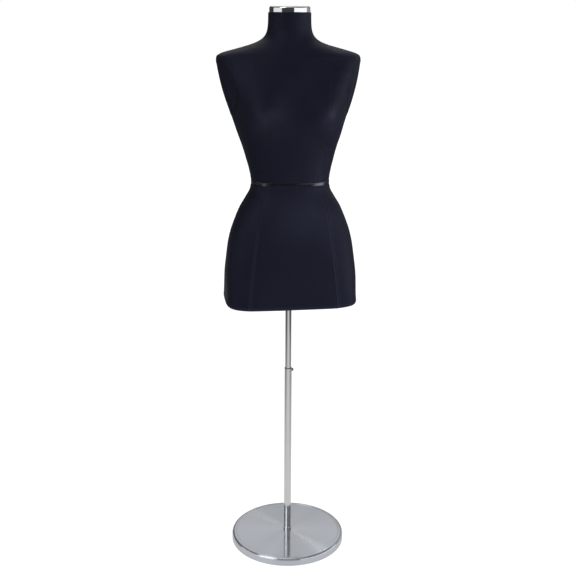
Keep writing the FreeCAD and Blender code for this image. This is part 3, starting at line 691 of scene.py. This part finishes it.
def wear_and_highlight_places(points, gap):
    """From 0 to 1: where hands and garments wear the nap at the hem, the shoulders and the bust, and painted
    highlights on the bust, the belly and along the hip seams.
    """
    x, y, z = points[..., 0], points[..., 1], points[..., 2]
    on_hips = np.clip((SEAM_HIGHLIGHT_TOP_Z - z) / SEAM_HIGHLIGHT_FADE, LEAST_SEAM_HIGHLIGHT, 1)
    # Painted highlight along the hip seams, strongest on the hips.
    seam = near(gap, SEAM_HIGHLIGHT_AT, SEAM_HIGHLIGHT_WIDTH) * on_hips
    # The bust: worn nap and a painted highlight.
    bust = np.exp(-((np.abs(x) - BUST_X) / BUST_WEAR_AND_HIGHLIGHT_WIDTH) ** 2 - ((z - BUST_Z) / BUST_WEAR_AND_HIGHLIGHT_WIDTH) ** 2)
    bust = bust * (y < 0)
    # Painted highlight on the belly.
    belly = np.exp(-((x - BELLY_X) / BELLY_SPREAD_X) ** 2 - ((z - BELLY_Z) / BELLY_SPREAD_Z) ** 2) * (y < 0)
    hem = near(z - HEM_Z, WORN_HEM_RISE, WORN_HEM_WIDTH)
    outward = np.clip((np.abs(x) - WORN_SHOULDER_FROM_X) / WORN_SHOULDER_FADE, 0, 1)
    shoulder = near(z, SHOULDER_Z, WORN_SHOULDER_WIDTH) * outward
    return np.clip(BUST_WEAR_AND_HIGHLIGHT * bust + WORN_HEM * hem + WORN_SHOULDER * shoulder
                   + SEAM_HIGHLIGHT * seam + BELLY_HIGHLIGHT * belly, 0, 1)


def beside_cap(rim):
    """The turned-in edge of the cloth on top of the neck, just clear of the cap."""
    low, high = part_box("neck_cap")
    middle = (np.array(low) + np.array(high)) / 2 / MM
    out = (rim - middle) * (1, 1, 0)
    out = out / np.linalg.norm(out, axis=-1, keepdims=True)
    edge = middle + out * ((high[0] - low[0]) / 2 / MM + CAP_GAP)
    edge[..., 2] = NECK_TOP_Z - NECK_EDGE[-1][1]
    return edge


def lay_panel(name, start, end, columns, node, side_edge=None, mirror=False):
    """One sewn panel of the cover, between two turns at each height. side_edge is 0 or 1 where its
    start or end is the side seam and the armhole's edge."""
    held = end > start + LEAST_PANEL_TURN
    held[1:] |= held[:-1]
    z, start, end = ROWS[held], start[held], np.maximum(end[held], start[held])
    share = (1 - np.cos(np.linspace(0, math.pi, columns))) / 2
    finely = np.linspace(0, 1, PANEL_SAMPLES)
    turns, widths = [], []
    for k in range(len(z)):
        some = start[k] + (end[k] - start[k]) * finely
        steps = np.linalg.norm(np.diff(form(some, z[k]), axis=0), axis=1)
        along = np.concatenate([[0], np.cumsum(steps)])
        widths.append(along[-1])
        turns.append(np.interp(share * along[-1], along, some) if along[-1] > 0 else start[k] + 0 * share)
    turns, widths = np.array(turns), np.array(widths)[:, None]
    height = z[:, None] + 0 * turns
    points, normals = form(turns, height), form_normal(turns, height)
    gaps = [share * widths, (1 - share) * widths]
    if side_edge is not None:
        beside = np.abs(points[..., 1] - side_line(height))
        beyond = np.abs(height - ARMHOLE_Z) > ARMHOLE_HALF_Z
        gaps[side_edge] = np.where(beyond, beside, FAR_FROM_SEAM)
        ratio = np.hypot((points[..., 1] - ARMHOLE_Y) / ARMHOLE_HALF_Y,
                         (points[..., 2] - ARMHOLE_Z) / ARMHOLE_HALF_Z)
        lean = np.clip(np.abs(normals[..., 0]), LEAST_LEAN, 1)
        gaps.append(OVAL_SEAM_EASE + np.abs(ratio - 1) * ARMHOLE_HALF_Y / lean)
    gap = np.minimum.reduce(gaps)
    mid = np.linalg.norm(np.diff(points[:, columns // 2], axis=0), axis=1)
    up = np.concatenate([[0], np.cumsum(mid)])[:, None] + 0 * turns
    across = (share - 0.5) * widths
    if mirror:
        points, normals, across = points * (-1, 1, 1), normals * (-1, 1, 1), -across
    out = sewn(gap) + lie_of_cloth(points) - HEM_PULL * near(height, HEM_Z, HEM_PULL_WIDTH)
    rim, rim_normal = points[-1].copy(), normals[-1]
    points = points + normals * out[..., None]
    if z[-1] > NECK_TOP_Z - 0.01:
        points[-1, :, 2] = NECK_TOP_Z - NECK_ROLL
        turn_over = [rim - rim_normal * inset + (0, 0, -drop) for inset, drop in NECK_EDGE]
        turn_over.append(beside_cap(rim))
        points = np.concatenate([points, np.array(turn_over)])
        more = len(turn_over)
        gap = np.concatenate([gap, np.repeat(gap[-1:], more, 0)])
        up = np.concatenate([up, up[-1:] + np.arange(1, more + 1)[:, None] * NECK_EDGE_STEP])
        across = np.concatenate([across, np.repeat(across[-1:], more, 0)])
    weave = np.stack([across * MM, up * MM, 0 * up], -1)
    faces = grid_faces(*points.shape[:2], flip=mirror)
    # The cover's wear and its painted highlights go in as the worn mask.
    declare_sheet(jersey_piece(name, node, points, faces, weave, gap, wear_and_highlight_places(points, gap)), points)


def jersey_piece(name, node, points, faces, weave, gap, worn):
    """A piece of the cover with the cloth's thickness, from a grid of points on its outer face. Its worn mask
    holds the cloth's wear and its painted highlights.
    """
    piece = new_piece(name, points.reshape(-1, 3), faces, "black_jersey", "torso", [node],
                      {"weave": weave.reshape(-1, 3), "edge": gap.ravel(), "wear_and_highlight": worn.ravel()})
    weld(piece)
    solid = piece.modifiers.new("thickness", "SOLIDIFY")
    solid.thickness = CLOTH_T * MM
    solid.offset = -1.0
    return piece


def declare_sheet(piece, points, flat=None):
    if flat is None:
        flat = (np.linalg.norm(np.diff(points, axis=1), axis=2).sum(axis=1).max(),
                np.linalg.norm(np.diff(points, axis=0), axis=2).sum(axis=0).max())


def make_armhole(name, side, node):
    """The oval panel over one armhole."""
    rings, segments = ARMHOLE_GRID
    share = np.sin(np.linspace(0, QUARTER, rings))[:, None]
    angle = np.linspace(0, 2 * math.pi, segments, endpoint=False)[None, :]
    y = ARMHOLE_Y + ARMHOLE_HALF_Y * share * np.cos(angle)
    z = ARMHOLE_Z + ARMHOLE_HALF_Z * share * np.sin(angle)
    turns = turn_where(across_y, y, z, -QUARTER * 0.98, QUARTER * 0.98)
    points, normals = form(turns, z), form_normal(turns, z)
    gap = (1 - share) * ARMHOLE_HALF_Y / np.clip(np.abs(normals[..., 0]), LEAST_LEAN, 1)
    out = sewn(gap + OVAL_SEAM_EASE) + OVAL_FULLNESS * (1 - share ** 6) + lie_of_cloth(points)
    points = (points + normals * out[..., None]) * (side, 1, 1)
    weave = np.stack([side * y * MM, z * MM, 0 * y], -1)
    faces = grid_faces(rings, segments, wrap=True, flip=side < 0)
    # worn holds the panel's wear and its painted highlights.
    worn = wear_and_highlight_places(points, CLEAR_OF_SEAM_HIGHLIGHT + gap)
    piece = jersey_piece(name, node, points, faces, weave, gap, worn)
    closed = np.concatenate([points, points[:, :1]], axis=1)
    declare_sheet(piece, closed, (2 * ARMHOLE_HALF_Y, 2 * ARMHOLE_HALF_Z))


def make_underside():
    """The cloth over the board under the hem, pulled flat and tacked near its rim."""
    rings, segments = UNDERSIDE_GRID
    turn = np.linspace(0, 2 * math.pi, segments, endpoint=False)[None, :]
    rim = form(turn, HEM_Z)
    share = np.sin(np.linspace(0, QUARTER, rings))[:, None, None]
    angle = np.arctan2(rim[..., 1], rim[..., 0])
    hole = np.stack([UNDERSIDE_HOLE_R * np.cos(angle), UNDERSIDE_HOLE_R * np.sin(angle),
                     HEM_Z + 0 * angle], -1)
    points = hole + (rim - hole) * share
    tack_turns = 2 * math.pi * (np.arange(TACK_COUNT) + 0.5) / TACK_COUNT
    pressed = 0.0
    for tack in form(tack_turns, HEM_Z):
        away = np.linalg.norm(points[..., :2] - tack[:2] * TACK_AT, axis=-1)
        pressed = pressed + TACK_PRESS * near(away, 0, TACK_PRESS_R)
        bearing = np.arctan2(points[..., 1] - tack[1] * TACK_AT, points[..., 0] - tack[0] * TACK_AT)
        pleats = TACK_PLEAT_H * np.sin(bearing * TACK_PLEATS) ** 2
        pressed = pressed + pleats * near(away, 0, TACK_PLEAT_R) * (away > 0.5)
    radius = np.linalg.norm(points[..., :2], axis=-1)
    slow = UNDERSIDE_WAVE * np.sin(points[..., 0] / 15) * np.sin(points[..., 1] / 12)
    slow = slow * np.clip((radius - FLANGE_CLEAR_R) / 20, 0, 1)
    to_rim = (1 - share[..., 0]) * np.linalg.norm((rim - hole)[..., :2], axis=-1)
    rim_pull = UNDERSIDE_RIM_PULL * near(to_rim, 0, UNDERSIDE_RIM_WIDTH)
    points = points + np.stack([0 * radius, 0 * radius, pressed + slow + rim_pull], -1)
    faces = grid_faces(rings, segments, wrap=True, flip=True)
    piece = jersey_piece("jersey_underside", "cover_underside", points, faces, points * MM,
                         to_rim, 0 * to_rim)
    closed = np.concatenate([points, points[:, :1]], axis=1)
    declare_sheet(piece, closed, np.ptp(rim[0, :, :2], axis=0))


def make_ribbon_band():
    """The ribbon round the waist, lapped over itself at the middle of the back."""
    start, lap = RIBBON_START, RIBBON_END - RIBBON_START
    turn = np.linspace(start, start + 2 * math.pi + lap, RIBBON_STEPS)
    up = np.array((-4.0, -3.9, -3.6, -3.0, -1.5, 0.0, 1.5, 3.0, 3.6, 3.9, 4.0)) * RIBBON_HALF / 4.0
    swell = 1 - RIBBON_EDGE_DROP * np.abs(up / RIBBON_HALF) ** 4
    face = np.concatenate([up, up[::-1]])
    outer = np.concatenate([RIBBON_OUTER * swell, np.full(len(up), RIBBON_INNER)])
    second = np.clip((turn - start - 2 * math.pi + 0.02) / 0.03, 0, 1)
    z = WAIST_Z + face[None, :] + RIBBON_DRIFT * np.sin(turn * 3 + 0.7)[:, None]
    spine = form(turn[:, None], z)
    normals = form_normal(turn[:, None], z)
    lift = outer[None, :] + RIBBON_LAYER * (second * second * (3 - 2 * second))[:, None]
    points = spine + normals * (lift + RIBBON_RIPPLE * np.sin(turn * 23)[:, None])[..., None]
    count = len(face)
    faces = list(grid_faces(len(turn), count, wrap=True))
    faces.append(tuple(range(count))[::-1])
    faces.append(tuple((len(turn) - 1) * count + j for j in range(count)))
    middle_line = points[:, len(up) // 2]
    length = np.concatenate([[0], np.cumsum(np.linalg.norm(np.diff(middle_line, axis=0), axis=1))])
    weave = np.stack([length[:, None] + 0 * lift, face[None, :] + 0 * lift, 0 * lift], -1) * MM
    piece = new_piece("waist_ribbon_band", points.reshape(-1, 3), faces, "waist_ribbon", "torso",
                      ["waist_tape"], {"weave": weave.reshape(-1, 3)})
    piece.data.set_sharp_from_angle(angle=math.radians(50))
    make_ribbon_stitches(start + 2 * math.pi + lap)


def make_ribbon_stitches(end):
    """Two small crossed stitches that hold the lapped end of the ribbon."""
    points, faces = [], []
    for low in STITCH_LOWS:
        for first_rise, last_rise in ((0.0, STITCH_H), (STITCH_H, 0.0)):
            ends = []
            for across, rise in ((-STITCH_HALF, first_rise), (STITCH_HALF, last_rise)):
                turn = np.array(end - STITCH_BACK + across / WAIST_BACK_R)
                z = np.array(WAIST_Z + low + rise + 0.15)
                ends.append(form(turn, z) + form_normal(turn, z) * STITCH_OUT)
            add_thread(points, faces, ends[0], ends[1], STITCH_R)
    new_piece("ribbon_stitches", points, faces, "waist_ribbon", "torso", (),
              {"weave": np.array(points) * MM})


def add_thread(points, faces, start, end, radius, sides=8, steps=9):
    """A short stitch: a thin strand that dives in at both of its ends."""
    first = len(points)
    line = end - start
    side = np.cross(line, start * (1, 1, 0))
    side = side / np.linalg.norm(side)
    out = np.cross(side, line / np.linalg.norm(line))
    if np.dot(out, start * (1, 1, 0)) < 0:
        out = -out
    for k in range(steps):
        t = k / (steps - 1)
        bow = STITCH_BOW * math.sin(math.pi * t) - STITCH_DIVE
        for j in range(sides):
            a = 2 * math.pi * j / sides
            points.append(start + line * t + out * (bow + radius * math.sin(a)) + side * radius * math.cos(a))
    for k in range(steps - 1):
        for j in range(sides):
            after = (j + 1) % sides
            faces.append((first + k * sides + j, first + k * sides + after,
                          first + (k + 1) * sides + after, first + (k + 1) * sides + j))
    faces.append(tuple(first + j for j in range(sides))[::-1])
    faces.append(tuple(first + (steps - 1) * sides + j for j in range(sides)))


def make_cover():
    middle = np.full(len(ROWS), QUARTER)
    lay_panel("jersey_front_centre", -math.pi - FRONT_TURN, FRONT_TURN, 92, "cover_front_centre")
    for word, mirror in (("left", False), ("right", True)):
        lay_panel("jersey_front_side_" + word, FRONT_TURN, SIDE_FRONT_TURN, 54,
                  "cover_front_side_" + word, side_edge=1, mirror=mirror)
        lay_panel("jersey_back_side_" + word, SIDE_BACK_TURN, BACK_TURN, 54,
                  "cover_back_side_" + word, side_edge=0, mirror=mirror)
        lay_panel("jersey_back_" + word, BACK_TURN, middle, 60, "cover_back_" + word, mirror=mirror)
        make_armhole("jersey_armhole_" + word, -1 if mirror else 1, "cover_armhole_" + word)
    make_underside()
    make_ribbon_band()


# ---------------------------------------------------------------- turned metal
def make_stand():
    crown = [(r, CROWN_Z - CROWN_DROP * (r / STEP_R) ** 2)
             for r in np.linspace(STEP_R - 0.8, LOWER_TUBE_R, 24)]
    corner = RIM_TOP_Z - RIM_ROLL_R
    roll = [(BASE_R - RIM_ROLL_R + RIM_ROLL_R * math.cos(a), corner + RIM_ROLL_R * math.sin(a))
            for a in np.linspace(0, QUARTER, 17)]
    inner = RIM_ROLL_R - COVER_T
    inner_roll = [(BASE_R - RIM_ROLL_R + inner * math.cos(a), corner + inner * math.sin(a))
                  for a in np.linspace(QUARTER, 0, 9)]
    step_top = STEP_R + STEP_SLOPE
    profile = ([(BASE_R - 0.5, COVER_EDGE_Z), (BASE_R - 0.1, COVER_EDGE_Z + 0.15),
                (BASE_R, COVER_EDGE_Z + 0.6), (BASE_R, corner - 0.6)]
               + roll
               + [(BASE_R - RIM_ROLL_R - 0.4, RIM_TOP_Z), (step_top + 0.4, RIM_TOP_Z),
                  (step_top, RIM_TOP_Z - 0.06), (STEP_R + 0.1, RIM_TOP_Z - STEP_DEPTH + 0.08),
                  (STEP_R - 0.3, RIM_TOP_Z - STEP_DEPTH)]
               + crown
               + [(LOWER_TUBE_R, CROWN_Z - COVER_T), (STEP_R, RIM_TOP_Z - STEP_DEPTH - COVER_T)]
               + inner_roll + [(BASE_R - COVER_T, COVER_EDGE_Z)])
    turned("base_top", profile, "spun_metal", "stand", ["base_cover"], segments=256)
    foot, top = LOWER_TUBE_FOOT_Z, LOWER_TUBE_TOP_Z
    tube = [(LOWER_BORE_R, foot, 0), (LOWER_TUBE_R, foot, 0.2),
            (LOWER_TUBE_R, top, 0.3), (LOWER_BORE_R, top, 0)]
    turned("tube_lower", rounded(tube), "chrome", "stand", ["lower_tube"])
    foot, top = UPPER_TUBE_FOOT_Z, UPPER_TUBE_TOP_Z
    tube = [(UPPER_BORE_R, foot, 0), (UPPER_TUBE_R, foot, 0.2),
            (UPPER_TUBE_R, top, 0.2), (UPPER_BORE_R, top, 0)]
    turned("tube_upper", rounded(tube), "chrome", "mast", ["upper_tube"])
    top = LOWER_TUBE_TOP_Z + BUSH_FLANGE_T
    foot, bore = top - BUSH_LENGTH, UPPER_TUBE_R + RUNNING_GAP
    bush = [(bore, foot, 0), (LOWER_BORE_R, foot, 0.2), (LOWER_BORE_R, LOWER_TUBE_TOP_Z, 0),
            (LOWER_TUBE_R, LOWER_TUBE_TOP_Z, 0.2), (LOWER_TUBE_R, top, 0.6), (bore, top, 0.2)]
    turned("collar_bush", rounded(bush), "nylon", "stand", ["guide_bush"])
    turned("foot_ring", rounded([(LOWER_TUBE_R, CROWN_Z, 0), (COLLAR_R, CROWN_Z, 0.3),
                                 (COLLAR_R, CROWN_Z + COLLAR_H, 1.0), (LOWER_TUBE_R, CROWN_Z + COLLAR_H, 0)]),
           "chrome", "stand", ["foot_collar"])


def make_cap():
    low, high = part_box("neck_cap")
    centre = tuple((low[k] + high[k]) / 2 / MM for k in (0, 1))
    radius, foot, top = (high[0] - low[0]) / 2 / MM, low[2] / MM, high[2] / MM
    inside = radius - CAP_T
    shell = [(0, top - CAP_T, 0), (inside, top - CAP_T, CAP_INNER_ROUND), (inside, foot, 0.1),
             (radius, foot, 0.4), (radius, top, CAP_ROUND), (0, top, 0)]
    turned("cap_shell", rounded(shell), "chrome", "cap", ["neck_cap"], centre=centre, segments=256)


def dress_nodes():
    """Better materials on the CAD pieces that stay."""
    for part in frame["record"]["subparts"]:
        slots = NODES[part["node"]].data.materials
        slots.clear()
        slots.append(MATERIALS[part["material_slot"]])


# ---------------------------------------------------------------- studio
# Bright patches of the room: turn to the right of the camera, rise, inner and outer angle, the rise
# at which its top is cut off or None, and level. Angles are in degrees.
WALLS = (
    (180.0, 62.0, 38.0, 47.0, None, 0.68),
    (-40.0, 78.0, 14.0, 32.0, None, 0.95),
    (128.0, 8.0, 14.0, 34.0, None, 0.36),
    (68.0, 0.0, 41.0, 45.0, 14.0, 1.3),
    (-74.0, 0.0, 26.0, 31.0, 14.0, 1.0),
    (0.0, 46.0, 28.0, 38.0, None, 0.30),
    (-42.0, 31.0, 12.0, 23.0, None, 2.2),
    (165.0, 45.0, 1.6, 3.4, None, 3.0),
)

CUT_SOFTNESS = 6
ROOM_LEVEL = 0.05

# Reflectors lying far out on the floor: turn, inner and outer angle, and level.
REFLECTORS = ((80.0, 5.0, 27.0, 3.4), (-58.0, 4.0, 11.0, 1.5))
REFLECTOR_FROM, REFLECTOR_FADE = 3.6, 0.4

# A strip of white paper under the object: its half width and its half length, each with its fade.
PAPER_HALF_WIDTH, PAPER_HALF_LENGTH = (0.3, 1.8), (2.4, 3.4)
PAPER_GLOW = 0.57
FLOOR_R = 40


def cos_deg(angle):
    return math.cos(math.radians(angle))


def sin_deg(angle):
    return math.sin(math.radians(angle))


class Room:
    """The studio round the object, as the world's light in each direction."""

    def __init__(self):
        world = bpy.data.worlds.new("studio")
        bpy.context.scene.world = world
        world.use_nodes = True
        self.tree = world.node_tree
        self.tree.nodes.clear()
        self.way = self.add("TexCoord", out=0)

    def add(self, kind, *values, out=0, **settings):
        node = self.tree.nodes.new("ShaderNode" + kind)
        for key, value in settings.items():
            setattr(node, key, value)
        for socket, value in zip(node.inputs, values):
            if isinstance(value, bpy.types.NodeSocket):
                self.tree.links.new(value, socket)
            elif value is not None:
                socket.default_value = value
        return None if out is None else node.outputs[out]

    def toward(self, turn_deg, rise_deg, inner_deg, outer_deg):
        """1 within the inner angle of a direction, falling to 0 at the outer angle."""
        way = around_object(turn_deg, cos_deg(rise_deg), sin_deg(rise_deg))
        near = self.add("VectorMath", self.way, tuple(way), out=1, operation="DOT_PRODUCT")
        return self.add("MapRange", near, cos_deg(outer_deg), cos_deg(inner_deg), 0.0, 1.0,
                        interpolation_type="SMOOTHSTEP")


def make_studio():
    room = Room()
    glow = ROOM_LEVEL
    rise = room.add("SeparateXYZ", room.way, out=2)
    for turn, height, inner, outer, top, level in WALLS:
        patch = room.add("Math", room.toward(turn, height, inner, outer), level, operation="MULTIPLY")
        if top is not None:
            below = room.add("MapRange", rise, sin_deg(top), sin_deg(top + CUT_SOFTNESS), 1.0, 0.0)
            patch = room.add("Math", patch, below, operation="MULTIPLY")
        glow = room.add("Math", patch, glow, operation="MAXIMUM")
    lit = room.add("Background", glow, 1.0)
    seen = room.add("Background", (1, 1, 1, 1), 1.0)
    camera_ray = room.add("LightPath", out=0)
    mixed = room.add("MixShader", camera_ray, lit, seen)
    room.add("OutputWorld", mixed, out=None)
    soft_box("key_right", turn_deg=50.0, distance=1.8, height=0.6, width=1.5, tall=1.6,
             power=16.0, aim_height=0.8)
    soft_box("front", turn_deg=0.0, distance=2.3, height=0.5, width=1.8, tall=1.2,
             power=8.0, aim_height=0.9)
    make_floor()


def make_floor():
    """The floor: pure white to the camera. Reflections see dull paper, a glowing strip and reflectors."""
    s = Shader("studio_floor", Roughness=0.9, Specular_IOR_Level=0.1)
    at = place(s)
    side = around_object(90.0, 1.0, 0.0)
    lateral = s.add("VectorMath", at, tuple(side), out=1, operation="DOT_PRODUCT")
    away = s.add("VectorMath", at, out=1, operation="LENGTH")
    paper = s.maths("MULTIPLY", s.ramp(s.maths("ABSOLUTE", lateral), *PAPER_HALF_WIDTH, 1.0, 0.0),
                    s.ramp(away, *PAPER_HALF_LENGTH, 1.0, 0.0))
    far = s.ramp(away, REFLECTOR_FROM, REFLECTOR_FROM + REFLECTOR_FADE)
    glow = s.maths("MULTIPLY", paper, PAPER_GLOW)
    for turn, inner, outer, level in REFLECTORS:
        toward = s.add("VectorMath", at, tuple(around_object(turn, 1.0, 0.0)), out=1, operation="DOT_PRODUCT")
        spread = s.ramp(s.maths("DIVIDE", toward, away), cos_deg(outer), cos_deg(inner))
        glow = s.maths("MULTIPLY_ADD", s.maths("MULTIPLY", spread, far), level, glow)
    cloud = s.noise(at, 3.0, 2.0)
    s.link("Base Color", s.mix(cloud, (0.17, 0.17, 0.17, 1), (0.19, 0.19, 0.19, 1)))
    seen = s.add("LightPath", out=0)
    s.surface.inputs["Emission Color"].default_value = (1, 1, 1, 1)
    s.link("Emission Strength", s.maths("MAXIMUM", seen, glow))
    mesh = bpy.data.meshes.new("studio_floor")
    turn = np.linspace(0, 2 * math.pi, 96, endpoint=False)
    rim = [(FLOOR_R * math.cos(t), FLOOR_R * math.sin(t), 0.0) for t in turn]
    mesh.from_pydata(rim, [], [tuple(range(len(rim)))])
    mesh.materials.append(s.material)
    floor = bpy.data.objects.new("studio_floor", mesh)
    bpy.context.scene.collection.objects.link(floor)


make_camera()
make_cover()
make_stand()
make_cap()
dress_nodes()
make_studio()
bpy.context.scene.view_settings.view_transform = "Standard"
